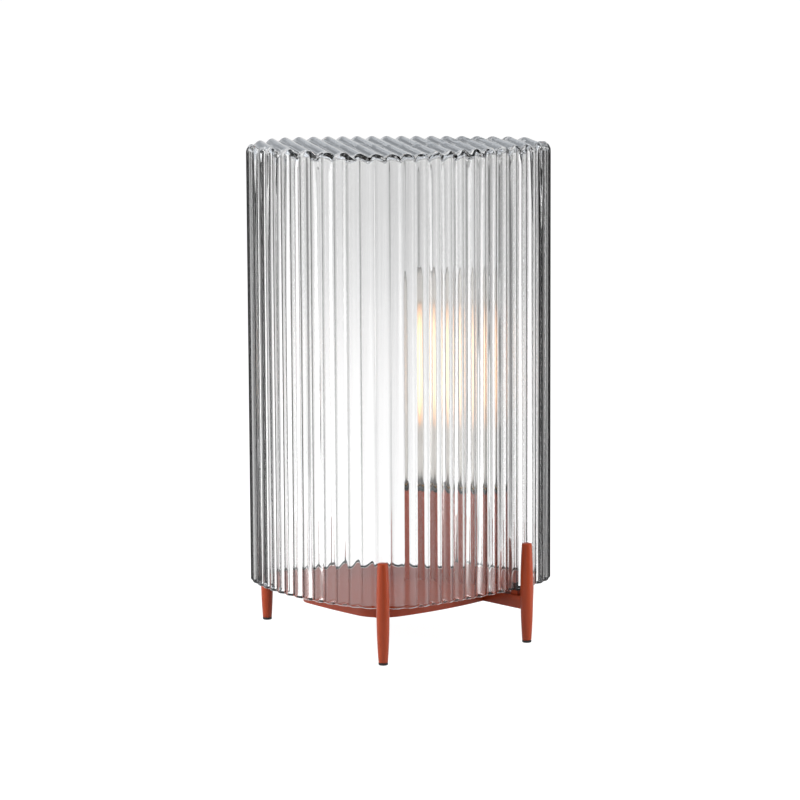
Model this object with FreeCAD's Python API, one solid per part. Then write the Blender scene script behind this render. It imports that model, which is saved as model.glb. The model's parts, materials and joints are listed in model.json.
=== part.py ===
"""Column table lamp: a ribbed glass shade that stands over a lamp on a low four-legged metal base.

Millimetres, +Z up.  While it is built, the plan's own origin lies near the middle of the shade, with -Y
towards the front.  At the end every piece is moved so that the origin is on the table, under the middle
of the whole lamp.
"""
import FreeCAD, Part
import os
from math import acos, atan2, ceil, cos, degrees, hypot, pi, radians, sin, sqrt

Vec = FreeCAD.Vector
UP = Vec(0, 0, 1)

# Plan of the shade: three corner circles (x, y, radius) joined by three bowed sides.
lamp_height = 340.0
shade_corners = ((-8.5, -9.0, 44.0), (63.5, 53.5, 40.5), (-56.5, 52.5, 47.5))
shade_side_bows = (400.0, 330.0, 168.0)      # radius of the front right, back and front left sides

# Glass
rim_height = 36.2            # underside of the glass above the table
rib_pitch = 10.2
rib_depth = 1.8
first_groove = 2.35          # from the left end of the front corner, along the outline
glass_wall = 3.0             # behind the grooves
glass_top = 4.5              # behind the grooves of the top
shoulder_radius = 4.0
shoulder_spare = 0.3         # keeps the shoulder's block clear of the rib crests
top_rib_pitch = 10.15
top_rib_depth = 2.4
top_rib_turn = 9.3           # degrees that the top ribs are turned away from the front-to-back line
top_first_groove = -1.4      # across the ribs, from the middle of the plan

# Legs: a bearing from the middle of the plan, and the point of the hub that the leg's arm aims at
plan_middle = (0.0, 30.0)
legs = {"front": (-97.9, (-12.5, 6.0)), "right": (-11.6, (46.0, 54.0)), "rear": (33.2, (51.0, 45.0)),
        "left": (148.5, (-52.0, 42.0))}
leg_height = 69.0
leg_belly_height = 35.0
leg_foot_radius = 3.2
leg_belly_radius = 4.4
leg_top_radius = 3.4
leg_top_round = 0.8
leg_steps = 3                # straight steps of the curved outline, below the belly and again above it
leg_to_glass = 0.8
glide_height = 1.6
glide_pin_radius = 1.2
glide_pin_length = 5.0

# Arms and hub
base_underside = 23.4
arm_height = 8.6
arm_width = 7.6
stud_radius = 1.5
stud_in_leg = 2.6
stud_in_arm = 6.0
hub_corners = ((-12.5, 5.6, 23.0), (44.0, 53.0, 20.5), (-52.0, 41.0, 15.5))
hub_side_bows = (260.0, 157.0, 500.0)
hub_wall = 1.5
cover_thickness = 1.2
screw_radius = 1.5
screw_head_radius = 2.8
screw_head_height = 1.4
boss_radius = 3.6
boss_inset = 6.5             # from the hub's outside to the middle of a boss

# Tray
tray_inset = 9.2             # from the shade's outside to the tray's edge
tray_thickness = 2.5
tray_top = 36.8
tray_edge_round = 1.0

# Seats on the arms, and the shade pads on them
seat_width = 5.0
seat_recess = 1.6            # from the glass's outside to the seat's outer end
pad_thickness = 1.0
pad_lip = 2.4
pad_lip_height = 4.0
pad_play = 0.8               # between the lip and the glass
slip = 0.3                   # between a moving piece and what it passes

# Lampholder
holder_place = (44.0, 51.5)
sleeve_radius = 20.0
sleeve_wall = 1.2
sleeve_height = 63.0
sleeve_floor = 1.5
collar_height = 2.0
holder_shell_radius = 13.6   # inside of the threaded shell
holder_shell_wall = 0.5
holder_body_wall = 2.4
holder_mouth = 3.0           # from the collar's top down to the threaded shell
holder_floor = 4.0
contact_width = 6.0
contact_thickness = 0.6
nipple_radius = 5.0
nipple_bore = 3.6
nut_across_flats = 14.0
nut_height = 3.0
washer_radius = 9.0
washer_thickness = 0.8

# Bulb
cap_radius = 13.2
cap_length = 25.0
cap_wall = 0.4
cap_above_collar = 1.5
insulator_height = 4.0
insulator_top_radius = 11.0
insulator_bottom_radius = 6.0
tip_radius = 4.5
tip_height = 1.5
bulb_radius = 16.0
bulb_neck_radius = 12.6
bulb_shoulder_height = 20.0
bulb_length = 152.0          # above the cap
bulb_glass = 0.8
bulb_neck_in_cap = 6.0
bulb_dome_steps = 5
stem_radius = 4.0
stem_height = 30.0
filament_count = 4
filament_radius = 0.8
filament_length = 86.0
filament_circle = 6.5
filament_gap = 10.0          # from the stem up to the filaments
support_radius = 0.4
bead_radius = 1.4

# Wiring
wire_radius = 0.8
wire_bend = 2.6
block_size = (20.0, 10.0, 6.0)
block_offset = (-30.0, 0.0)
bushing_radius = 4.0
bushing_flange = 5.2
bushing_bore = 2.9


def bowed_sides(corners, bows):
    """Centre and radius of each side's arc, which touches the corner circles at both its ends."""
    sides = []
    for index, bow in enumerate(bows):
        xa, ya, ra = corners[index]
        xb, yb, rb = corners[(index + 1) % len(corners)]
        span = hypot(xb - xa, yb - ya)
        along = ((bow - ra) ** 2 - (bow - rb) ** 2 + span ** 2) / (2 * span)
        back = sqrt((bow - ra) ** 2 - along ** 2)
        ux, uy = (xb - xa) / span, (yb - ya) / span
        sides.append((xa + ux * along - uy * back, ya + uy * along + ux * back, bow))
    return sides


def plan_arcs(corners, bows):
    """The outline as arcs in order: (centre x, centre y, radius, start angle, turn)."""
    sides = bowed_sides(corners, bows)
    arcs = []
    for index, corner in enumerate(corners):
        following = corners[(index + 1) % len(corners)]
        before, after = sides[index - 1], sides[index]
        start = atan2(corner[1] - before[1], corner[0] - before[0])
        middle = atan2(corner[1] - after[1], corner[0] - after[0])
        end = atan2(following[1] - after[1], following[0] - after[0])
        arcs.append((corner[0], corner[1], corner[2], start, (middle - start) % (2 * pi)))
        arcs.append((after[0], after[1], after[2], middle, (end - middle) % (2 * pi)))
    return arcs


def plan_wire(corners, bows, inset, z):
    """The outline drawn in by inset, as a closed wire at height z."""
    edges = []
    for cx, cy, radius, start, turn in plan_arcs(corners, bows):
        drawn = radius - inset
        ends = [Vec(cx + drawn * cos(start + turn * t), cy + drawn * sin(start + turn * t), z)
                for t in (0.0, 0.5, 1.0)]
        edges.append(Part.Arc(*ends).toShape())
    return Part.Wire(edges)


def plan_solid(corners, bows, inset, z_low, z_high):
    face = Part.Face(plan_wire(corners, bows, inset, z_low))
    return face.extrude(Vec(0, 0, z_high - z_low))


def plan_length(corners, bows):
    return sum(radius * turn for _, _, radius, _, turn in plan_arcs(corners, bows))


def plan_point(corners, bows, distance):
    """Point and outward normal at a distance along the outline."""
    for cx, cy, radius, start, turn in plan_arcs(corners, bows):
        if distance <= radius * turn + 1e-9:
            angle = start + distance / radius
            return cx + radius * cos(angle), cy + radius * sin(angle), cos(angle), sin(angle)
        distance -= radius * turn
    return plan_point(corners, bows, 0.0)


def plan_crossing(bearing):
    """Point and outward normal of the shade's outline in the direction of a bearing from its middle."""
    steps = 4000
    length = plan_length(shade_corners, shade_side_bows)
    best = None
    for index in range(steps):
        x, y, nx, ny = plan_point(shade_corners, shade_side_bows, length * index / steps)
        off = degrees(atan2(y - plan_middle[1], x - plan_middle[0])) - bearing
        off = abs((off + 180.0) % 360.0 - 180.0)
        if best is None or off < best[0]:
            best = (off, x, y, nx, ny)
    return best[1:]


def ribbed_wire(inset, z):
    """The shade's outline as a ring of rounded ribs, its crests drawn in by inset."""
    length = plan_length(shade_corners, shade_side_bows)
    count = round(length / rib_pitch)
    edges = []
    for index in range(count):
        points = []
        for step, depth in ((0.0, rib_depth), (0.5, 0.0), (1.0, rib_depth)):
            distance = (first_groove + length * ((index + step) % count) / count) % length
            x, y, nx, ny = plan_point(shade_corners, shade_side_bows, distance)
            draw = inset + depth
            points.append(Vec(x - nx * draw, y - ny * draw, z))
        edges.append(Part.Arc(*points).toShape())
    return Part.Wire(edges)


def ribbed_top():
    """A block under parallel rounded ribs, turned a little away from the front-to-back line."""
    reach = 2.0 * lamp_height
    half = ceil(0.5 * lamp_height / top_rib_pitch)
    profile = []
    for index in range(-half, half):
        left, right = index * top_rib_pitch, (index + 1) * top_rib_pitch
        groove = lamp_height - top_rib_depth
        profile.append(Part.Arc(Vec(left, -reach / 2, groove), Vec((left + right) / 2, -reach / 2, lamp_height),
                                Vec(right, -reach / 2, groove)).toShape())
    ends = (Vec(half * top_rib_pitch, -reach / 2, groove), Vec(half * top_rib_pitch, -reach / 2, 0),
            Vec(-half * top_rib_pitch, -reach / 2, 0), Vec(-half * top_rib_pitch, -reach / 2, groove))
    for a, b in zip(ends[:-1], ends[1:]):
        profile.append(Part.LineSegment(a, b).toShape())
    block = Part.Face(Part.Wire(profile)).extrude(Vec(0, reach, 0))
    block.translate(Vec(top_first_groove, 0, 0))
    block.rotate(Vec(0, 0, 0), UP, top_rib_turn)
    block.translate(Vec(plan_middle[0], plan_middle[1], 0))
    return block


def rounded_block():
    """The shade's plan as a plain block, a little larger all round, with a rounded upper edge."""
    block = plan_solid(shade_corners, shade_side_bows, -shoulder_spare, rim_height - 1.0, lamp_height)
    edges = [edge for edge in block.Edges if edge.BoundBox.ZMin > lamp_height - 0.01]
    return block.makeFillet(shoulder_radius + shoulder_spare, edges)


def glass_shade():
    """Ribbed walls, a rounded shoulder, and a ribbed top; smooth inside and open below."""
    walls = Part.Face(ribbed_wire(0.0, rim_height)).extrude(Vec(0, 0, lamp_height))
    outside = walls.common(rounded_block()).common(ribbed_top())
    inset = rib_depth + glass_wall
    hollow = plan_solid(shade_corners, shade_side_bows, inset, rim_height - 1.0,
                        lamp_height - top_rib_depth - glass_top)
    return outside.cut(hollow)


def revolved(points, place=(0.0, 0.0)):
    """A turned piece from a closed outline of (radius, height) points; a third value makes an arc's middle."""
    edges = []
    count = len(points)
    index = 0
    while index < count:
        a = points[index]
        b = points[(index + 1) % count]
        if len(b) == 3:
            c = points[(index + 2) % count]
            edges.append(Part.Arc(Vec(a[0], 0, a[1]), Vec(b[0], 0, b[1]), Vec(c[0], 0, c[1])).toShape())
            index += 2
        else:
            edges.append(Part.LineSegment(Vec(a[0], 0, a[1]), Vec(b[0], 0, b[1])).toShape())
            index += 1
    solid = Part.Face(Part.Wire(edges)).revolve(Vec(0, 0, 0), UP, 360)
    solid.translate(Vec(place[0], place[1], 0))
    return solid


def rod(radius, place, z_low, z_high):
    return Part.makeCylinder(radius, z_high - z_low, Vec(place[0], place[1], z_low))


def tube(outer, inner, place, z_low, z_high):
    return rod(outer, place, z_low, z_high).cut(rod(inner, place, z_low, z_high))


def leg_axis(name):
    x, y, nx, ny = plan_crossing(legs[name][0])
    out = leg_to_glass + leg_belly_radius
    return x + nx * out, y + ny * out


def arm_frame(name):
    """Where an arm starts, on its leg's axis, and the unit vector towards the point that it aims at."""
    x, y = leg_axis(name)
    dx, dy = legs[name][1][0] - x, legs[name][1][1] - y
    return (x, y), (dx / hypot(dx, dy), dy / hypot(dx, dy))


def leg_radius(height):
    """The leg is thickest at its belly and thins with the square of the distance from it."""
    if height < leg_belly_height:
        share = (leg_belly_height - height) / (leg_belly_height - glide_height)
        return leg_belly_radius - (leg_belly_radius - leg_foot_radius) * share ** 2
    share = (height - leg_belly_height) / (leg_height - leg_belly_height)
    return leg_belly_radius - (leg_belly_radius - leg_top_radius) * share ** 2


def leg(name):
    """A turned leg, thickest at its belly, with a bore for its glide and one for the arm's stud."""
    place = leg_axis(name)
    below, above = leg_belly_height - glide_height, leg_height - leg_top_round - leg_belly_height
    heights = [glide_height + below * step / leg_steps for step in range(leg_steps)]
    heights += [leg_belly_height + above * step / leg_steps for step in range(leg_steps + 1)]
    outline = [(0.0, glide_height)] + [(leg_radius(height), height) for height in heights]
    outline += [(leg_top_radius - leg_top_round, leg_height), (0.0, leg_height)]
    body = revolved(outline, place)
    body = body.cut(rod(glide_pin_radius, place, glide_height, glide_height + glide_pin_length))
    return body.cut(stud(name))


def glide(name):
    """A rubber glide under a leg, with a pin that is pushed up into the leg."""
    place = leg_axis(name)
    edge = 0.4
    foot = revolved(((0.0, 0.0), (leg_foot_radius - edge, 0.0), (leg_foot_radius, edge),
                     (leg_foot_radius, glide_height), (0.0, glide_height)), place)
    return foot.fuse(rod(glide_pin_radius, place, glide_height, glide_height + glide_pin_length))


def stud(name):
    """A threaded stud along the arm, half in the leg and half in the arm's end."""
    (x, y), (ux, uy) = arm_frame(name)
    start = leg_belly_radius - stud_in_leg
    middle = base_underside + arm_height / 2
    return Part.makeCylinder(stud_radius, stud_in_leg + stud_in_arm,
                             Vec(x + ux * start, y + uy * start, middle), Vec(ux, uy, 0))


def on_arm(name, start, length, width, low, high):
    """A block along the middle of an arm, from a distance beyond the leg's axis."""
    (x, y), (ux, uy) = arm_frame(name)
    block = Part.makeBox(length, width, high - low, Vec(start, -width / 2, low))
    block.rotate(Vec(0, 0, 0), UP, degrees(atan2(uy, ux)))
    block.translate(Vec(x, y, 0))
    return block


glass_outside = leg_belly_radius + leg_to_glass     # from a leg's axis
glass_inside = glass_outside + rib_depth + glass_wall
seat_start = glass_outside + seat_recess
seat_length = glass_inside + pad_play + pad_lip - seat_start
seat_top = rim_height - pad_thickness


def arm(name):
    """A flat bar from the leg to the hub's wall, with a raised seat under the glass."""
    (x, y), (ux, uy) = arm_frame(name)
    reach = max(hypot(cx - x, cy - y) for cx, cy, _ in hub_corners)
    half = arm_width / 2
    corners = [Vec(x + uy * half, y - ux * half, base_underside), Vec(x - uy * half, y + ux * half, base_underside)]
    corners.append(corners[1] + Vec(ux * reach, uy * reach, 0))
    corners.append(corners[0] + Vec(ux * reach, uy * reach, 0))
    bar = Part.Face(Part.makePolygon(corners + corners[:1])).extrude(Vec(0, 0, arm_height))
    leg_room = rod(leg_belly_radius, (x, y), base_underside - 1, base_underside + arm_height + 1)
    hub = plan_solid(hub_corners, hub_side_bows, 0.0, base_underside - 1, base_underside + arm_height + 1)
    seat = on_arm(name, seat_start, seat_length, seat_width, base_underside + arm_height / 2, seat_top)
    pieces = bar.fuse(seat).cut(leg_room).cut(hub).cut(stud(name)).removeSplitter().Solids
    near = leg_belly_radius + arm_width
    return min(pieces, key=lambda piece: (piece.CenterOfMass - Vec(x + ux * near, y + uy * near, 0)).Length)


def shade_pad(name):
    """A rubber pad on the arm's seat: the glass stands on its foot, and its lip keeps the glass in place."""
    foot = on_arm(name, seat_start, seat_length, seat_width, seat_top, rim_height)
    lip = on_arm(name, seat_start + seat_length - pad_lip, pad_lip, seat_width, seat_top, rim_height + pad_lip_height)
    return foot.fuse(lip).removeSplitter()


def hub_boss_places(inset):
    """One place inside each hub corner, on the line to the hub's middle."""
    middle_x = sum(corner[0] for corner in hub_corners) / len(hub_corners)
    middle_y = sum(corner[1] for corner in hub_corners) / len(hub_corners)
    places = []
    for cx, cy, radius in hub_corners:
        away = hypot(cx - middle_x, cy - middle_y)
        out = (away + radius - inset) / away
        places.append((middle_x + (cx - middle_x) * out, middle_y + (cy - middle_y) * out))
    return places


hub_top = tray_top - tray_thickness


def hub_housing():
    """A shallow box, open below, with a boss in each corner and holes for the nipple and the cord bushing."""
    shell = plan_solid(hub_corners, hub_side_bows, 0.0, base_underside, hub_top)
    room = plan_solid(hub_corners, hub_side_bows, hub_wall, base_underside - 1, hub_top - hub_wall)
    shell = shell.cut(room)
    for place in hub_boss_places(boss_inset):
        shell = shell.fuse(rod(boss_radius, place, base_underside + cover_thickness, hub_top - hub_wall / 2))
        shell = shell.cut(rod(screw_radius, place, base_underside, hub_top))
    shell = shell.cut(rod(nipple_radius, holder_place, base_underside, hub_top + 1))
    return shell.cut(bushing_hole()).removeSplitter()


def cover_plate():
    """The plate that closes the hub from below."""
    plate = plan_solid(hub_corners, hub_side_bows, hub_wall + 0.2, base_underside, base_underside + cover_thickness)
    for place in hub_boss_places(boss_inset):
        plate = plate.cut(rod(screw_radius, place, base_underside, base_underside + cover_thickness))
    return plate


def cover_screw(place):
    """A screw with a domed head, up through the cover into a boss and the tray."""
    head = revolved(((0.0, base_underside - screw_head_height),
                     (screw_head_radius * 0.6, base_underside - screw_head_height),
                     (screw_head_radius, base_underside), (0.0, base_underside)), place)
    return head.fuse(rod(screw_radius, place, base_underside, tray_top - tray_thickness / 2))


def tray():
    """The plate under the glass, with a rounded upper edge."""
    low = plan_wire(shade_corners, shade_side_bows, tray_inset, hub_top)
    mid = plan_wire(shade_corners, shade_side_bows, tray_inset, tray_top - tray_edge_round)
    soft = plan_wire(shade_corners, shade_side_bows, tray_inset + tray_edge_round * 0.3,
                     tray_top - tray_edge_round * 0.3)
    top = plan_wire(shade_corners, shade_side_bows, tray_inset + tray_edge_round, tray_top)
    plate = Part.makeLoft([low, mid, soft, top], True, True)
    plate = plate.cut(rod(nipple_radius, holder_place, hub_top - 1, tray_top + 1))
    for place in hub_boss_places(boss_inset):
        plate = plate.cut(rod(screw_radius, place, hub_top, tray_top - tray_thickness / 2))
    return plate


collar_top = tray_top + sleeve_height + collar_height
shell_top = collar_top - holder_mouth
cap_top = collar_top + cap_above_collar
cap_bottom = cap_top - cap_length
insulator_bottom = cap_bottom - insulator_height
tip_bottom = insulator_bottom - tip_height
shell_bottom = tip_bottom - slip - contact_thickness
body_bottom = shell_bottom - holder_floor


def holder_sleeve():
    """The painted cup that hides the lampholder."""
    cup = rod(sleeve_radius, holder_place, tray_top, tray_top + sleeve_height)
    cup = cup.cut(rod(sleeve_radius - sleeve_wall, holder_place, tray_top + sleeve_floor, tray_top + sleeve_height))
    return cup.cut(rod(nipple_radius, holder_place, tray_top, tray_top + sleeve_floor))


def holder_collar():
    """The black ring that caps the sleeve."""
    inner = holder_shell_radius + holder_shell_wall
    edge = 0.5
    ring = revolved(((inner, collar_top - collar_height), (sleeve_radius, collar_top - collar_height),
                     (sleeve_radius, collar_top - edge), (sleeve_radius - edge, collar_top), (inner, collar_top)),
                    holder_place)
    return ring


def lampholder_body():
    """The moulded cup around the threaded shell, on a stalk that the nipple screws into."""
    inner = holder_shell_radius + holder_shell_wall
    outer = inner + holder_body_wall
    top = collar_top - collar_height
    cup = rod(outer, holder_place, body_bottom, top).cut(rod(inner, holder_place, shell_bottom, top))
    stalk_top = body_bottom
    stalk_bottom = tray_top + sleeve_floor + washer_thickness
    cup = cup.fuse(rod(nipple_radius + 4.0, holder_place, stalk_bottom, stalk_top))
    return cup.cut(rod(nipple_radius, holder_place, stalk_bottom, shell_bottom))


def contact_shell():
    """The threaded shell's smooth envelope, inside the holder body."""
    return tube(holder_shell_radius + holder_shell_wall, holder_shell_radius, holder_place, shell_bottom, shell_top)


def centre_contact():
    """The sprung tongue under the bulb's tip, on the floor of the holder body."""
    x, y = holder_place
    base = shell_bottom
    tongue = Part.makeBox(holder_shell_radius * 1.2, contact_width, contact_thickness,
                          Vec(x - holder_shell_radius * 0.6, y - contact_width / 2, base))
    return tongue.cut(rod(nipple_bore / 2, (x + holder_shell_radius * 0.45, y), base, base + contact_thickness))


def nipple_tube():
    """The hollow threaded rod that ties holder, sleeve, tray and hub together."""
    low = hub_top - hub_wall - washer_thickness - nut_height
    return tube(nipple_radius, nipple_bore, holder_place, low - slip, body_bottom)


def hexagon(across_flats, place, z_low, z_high):
    corner = across_flats / 2 / cos(radians(30))
    points = [Vec(place[0] + corner * cos(radians(60 * k)), place[1] + corner * sin(radians(60 * k)), z_low)
              for k in range(7)]
    return Part.Face(Part.makePolygon(points)).extrude(Vec(0, 0, z_high - z_low))


def nipple_nut():
    top = hub_top - hub_wall - washer_thickness
    nut = hexagon(nut_across_flats, holder_place, top - nut_height, top)
    return nut.cut(rod(nipple_radius, holder_place, top - nut_height, top))


def lower_washer():
    top = hub_top - hub_wall
    return tube(washer_radius, nipple_radius, holder_place, top - washer_thickness, top)


def upper_washer():
    base = tray_top + sleeve_floor
    return tube(washer_radius, nipple_radius, holder_place, base, base + washer_thickness)


def bushing_frame():
    """Middle of the hub's back wall, and the height of the cord's way out."""
    right, left = hub_corners[1], hub_corners[2]
    side = bowed_sides(hub_corners, hub_side_bows)[1]
    aim = atan2((right[1] + left[1]) / 2 - side[1], (right[0] + left[0]) / 2 - side[0])
    x, y = side[0] + side[2] * cos(aim), side[1] + side[2] * sin(aim)
    return (x, y, (base_underside + cover_thickness + hub_top - hub_wall) / 2), (cos(aim), sin(aim))


def bushing_hole():
    (x, y, z), (ux, uy) = bushing_frame()
    reach = 4 * hub_wall
    return Part.makeCylinder(bushing_radius - 1.0, 2 * reach, Vec(x - ux * reach, y - uy * reach, z), Vec(ux, uy, 0))


def cord_bushing():
    """A rubber bushing in the hub's back wall, where a mains lead would leave."""
    (x, y, z), (ux, uy) = bushing_frame()
    out = Vec(ux, uy, 0)
    wall = Vec(x, y, z) - out * hub_wall
    neck = Part.makeCylinder(bushing_radius - 1.0, hub_wall * 3, wall - out * hub_wall, out)
    flange = Part.makeCone(bushing_radius, bushing_radius - 1.0, hub_wall * 2, Vec(x, y, z) + out * 0.1, out)
    rear = Part.makeCylinder(bushing_radius - 0.2, hub_wall, wall - out * (hub_wall + 0.1), out)
    body = neck.fuse(flange).fuse(rear)
    return body.cut(Part.makeCylinder(bushing_bore / 2, 30.0, wall - out * 15.0, out))


def terminal_block():
    """The small moulded block where the lead meets the lamp's own wires."""
    width, depth, height = block_size
    x, y = holder_place[0] + block_offset[0], holder_place[1] + block_offset[1]
    base = base_underside + cover_thickness
    block = Part.makeBox(width, depth, height, Vec(x - width / 2, y - depth / 2, base))
    for step in (-1, 1):
        way = Part.makeCylinder(1.4, width + 2, Vec(x - width / 2 - 1, y + step * depth / 4, base + 2.2), Vec(1, 0, 0))
        block = block.cut(way)
        for end in (-1, 1):
            block = block.cut(rod(1.2, (x + end * width / 4, y + step * depth / 4), base + 2.2, base + height + 1))
    return block


def terminal_screws():
    """Four small screws in the block, above the wires' ends."""
    width, depth, height = block_size
    x, y = holder_place[0] + block_offset[0], holder_place[1] + block_offset[1]
    base = base_underside + cover_thickness
    return [rod(1.2, (x + end * width / 4, y + step * depth / 4), base + 3.7, base + height)
            for step in (-1, 1) for end in (-1, 1)]


def lead_wire(step):
    """One wire from the terminal block, along the hub and up the nipple to the holder's floor."""
    width, depth, _ = block_size
    x0 = holder_place[0] + block_offset[0] + width / 2 - 4.0
    y0 = holder_place[1] + block_offset[1] + step * depth / 4
    z0 = base_underside + cover_thickness + 2.2
    x1, y1 = holder_place[0] - 1.2, holder_place[1] + step * 1.2
    top = shell_bottom - 0.5
    corners = [Vec(x0, y0, z0), Vec(x1, y1, z0), Vec(x1, y1, top)]
    into = (corners[1] - corners[0]).normalize()
    start, end = corners[1] - into * wire_bend, corners[1] + UP * wire_bend
    centre = start + UP * wire_bend
    mid = centre + (into * sin(pi / 4) - UP * cos(pi / 4)) * wire_bend
    path = Part.Wire([Part.LineSegment(corners[0], start).toShape(), Part.Arc(start, mid, end).toShape(),
                      Part.LineSegment(end, corners[2]).toShape()])
    ring = Part.Wire([Part.Circle(corners[0], into, wire_radius).toShape()])
    return path.makePipeShell([ring], True, True)


bulb_top = cap_top + bulb_length
filament_low = cap_top + stem_height + filament_gap
filament_high = filament_low + filament_length


def bulb_cap():
    """The bulb's brass screw cap, as a thin shell, its edge turned in over the insulator."""
    shell = tube(cap_radius, cap_radius - cap_wall, holder_place, cap_bottom, cap_top)
    return shell.fuse(tube(cap_radius, insulator_top_radius - 1.0, holder_place, cap_bottom, cap_bottom + cap_wall))


def bulb_insulator():
    x, y = holder_place
    return Part.makeCone(insulator_bottom_radius, insulator_top_radius, insulator_height, Vec(x, y, insulator_bottom))


def bulb_tip():
    x, y = holder_place
    return Part.makeCone(tip_radius * 0.7, tip_radius, tip_height, Vec(x, y, tip_bottom))


def bulb_outline(inset):
    """Half outline of the bulb's glass, drawn in by inset, from the neck in the cap to the top of its dome."""
    neck, belly = bulb_neck_radius - inset, bulb_radius - inset
    crown = bulb_top - bulb_radius
    outline = [(neck, cap_top - bulb_neck_in_cap), (neck, cap_top), (belly, cap_top + bulb_shoulder_height)]
    for step in range(bulb_dome_steps):
        angle = pi / 2 * step / bulb_dome_steps
        outline.append((belly * cos(angle), crown + belly * sin(angle)))
    return outline + [(0.0, crown + belly), (0.0, cap_top - bulb_neck_in_cap)]


def bulb_envelope():
    """The bulb's thin glass, a long tube with a domed end, seated in the cap."""
    return revolved(bulb_outline(0.0), holder_place).cut(revolved(bulb_outline(bulb_glass), holder_place))


def bulb_stem():
    """The glass stem: a flare that seals the neck, and the rod that carries the filaments."""
    neck = bulb_neck_radius - bulb_glass
    low = cap_top - bulb_neck_in_cap
    return revolved(((0.0, low), (neck, low), (neck, low + 2 * bulb_glass), (stem_radius * 1.5, cap_top),
                     (stem_radius, cap_top + stem_height * 0.3), (stem_radius, cap_top + stem_height),
                     (0.0, cap_top + stem_height)), holder_place)


def filament_places():
    return [(holder_place[0] + filament_circle * cos(2 * pi * k / filament_count + pi / 4),
             holder_place[1] + filament_circle * sin(2 * pi * k / filament_count + pi / 4))
            for k in range(filament_count)]


def filaments():
    return [rod(filament_radius, place, filament_low, filament_high) for place in filament_places()]


def support_wires():
    """Leaning wires from the stem to each filament's foot, a bead above, and wires from it to their heads."""
    x, y = holder_place
    wires = [rod(bead_radius, holder_place, filament_high, filament_high + 2 * bead_radius)]
    clear = support_radius / 2
    for fx, fy in filament_places():
        ux, uy = (fx - x) / filament_circle, (fy - y) / filament_circle
        for inner, low, high in ((stem_radius - 1.2, cap_top + stem_height + clear, filament_low - clear),
                                 (bead_radius, filament_high + bead_radius, filament_high + support_radius + clear)):
            start = Vec(x + ux * inner, y + uy * inner, low)
            lean = Vec(fx, fy, high) - start
            wires.append(Part.makeCylinder(support_radius, lean.Length, start, lean))
    return wires


def build():
    """Every node and its solids, in the plan's own frame."""
    nodes = {"glass_shade": [glass_shade()], "tray": [tray()], "hub_housing": [hub_housing()],
             "cover_plate": [cover_plate()], "cord_bushing": [cord_bushing()],
             "terminal_block": [terminal_block()], "terminal_screws": terminal_screws(),
             "live_wire": [lead_wire(1)], "neutral_wire": [lead_wire(-1)]}
    for name in legs:
        nodes["leg_" + name] = [leg(name)]
        nodes["arm_" + name] = [arm(name)]
    nodes["foot_glides"] = [glide(name) for name in legs]
    nodes["leg_studs"] = [stud(name) for name in legs]
    nodes["shade_pads"] = [shade_pad(name) for name in legs]
    nodes["cover_screws"] = [cover_screw(place) for place in hub_boss_places(boss_inset)]
    for piece in (holder_sleeve, holder_collar, lampholder_body, contact_shell, centre_contact, nipple_tube,
                  nipple_nut, lower_washer, upper_washer, bulb_cap, bulb_insulator, bulb_tip, bulb_envelope,
                  bulb_stem):
        nodes[piece.__name__] = [piece()]
    nodes["filaments"] = filaments()
    nodes["support_wires"] = support_wires()
    return nodes


def main():
    nodes = build()
    box = FreeCAD.BoundBox()
    for solids in nodes.values():
        for solid in solids:
            box.add(solid.optimalBoundingBox(False))
    shift = Vec(-box.Center.x, -box.Center.y, 0)
    os.makedirs("parts", exist_ok=True)
    for name, solids in nodes.items():
        shape = solids[0] if len(solids) == 1 else Part.makeCompound(solids)
        shape.translate(shift)
        shape.exportStep("parts/%s.step" % name)
        print("%-18s %2d solid(s) valid %s volume %9.1f" % (name, len(shape.Solids), shape.isValid(), shape.Volume))
    print("%d nodes, moved by %.3f, %.3f" % (len(nodes), shift.x, shift.y))
    print("size %.2f x %.2f x %.2f, underside at %.3f" % (box.XLength, box.YLength, box.ZLength, box.ZMin))
    for name in legs:
        x, y = leg_axis(name)
        print("leg_%s at %.2f, %.2f" % (name, x + shift.x, y + shift.y))
    print("holder at %.2f, %.2f, bulb top %.2f" % (holder_place[0] + shift.x, holder_place[1] + shift.y, bulb_top))
    print("ribs round the shade: %d" % round(plan_length(shade_corners, shade_side_bows) / rib_pitch))


main()
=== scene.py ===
# %% [markdown]
# This lesson dresses a table lamp.  A tall glass shade, ribbed on its sides and on its top, stands
# over a long bulb on a low metal base with four turned legs.  Everything that fits or moves comes
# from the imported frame, so the first step opens it and keeps the size of its box.

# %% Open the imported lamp
import json
import math

import bmesh
import bpy
import numpy as np
from mathutils import Euler, Matrix, Vector


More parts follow.
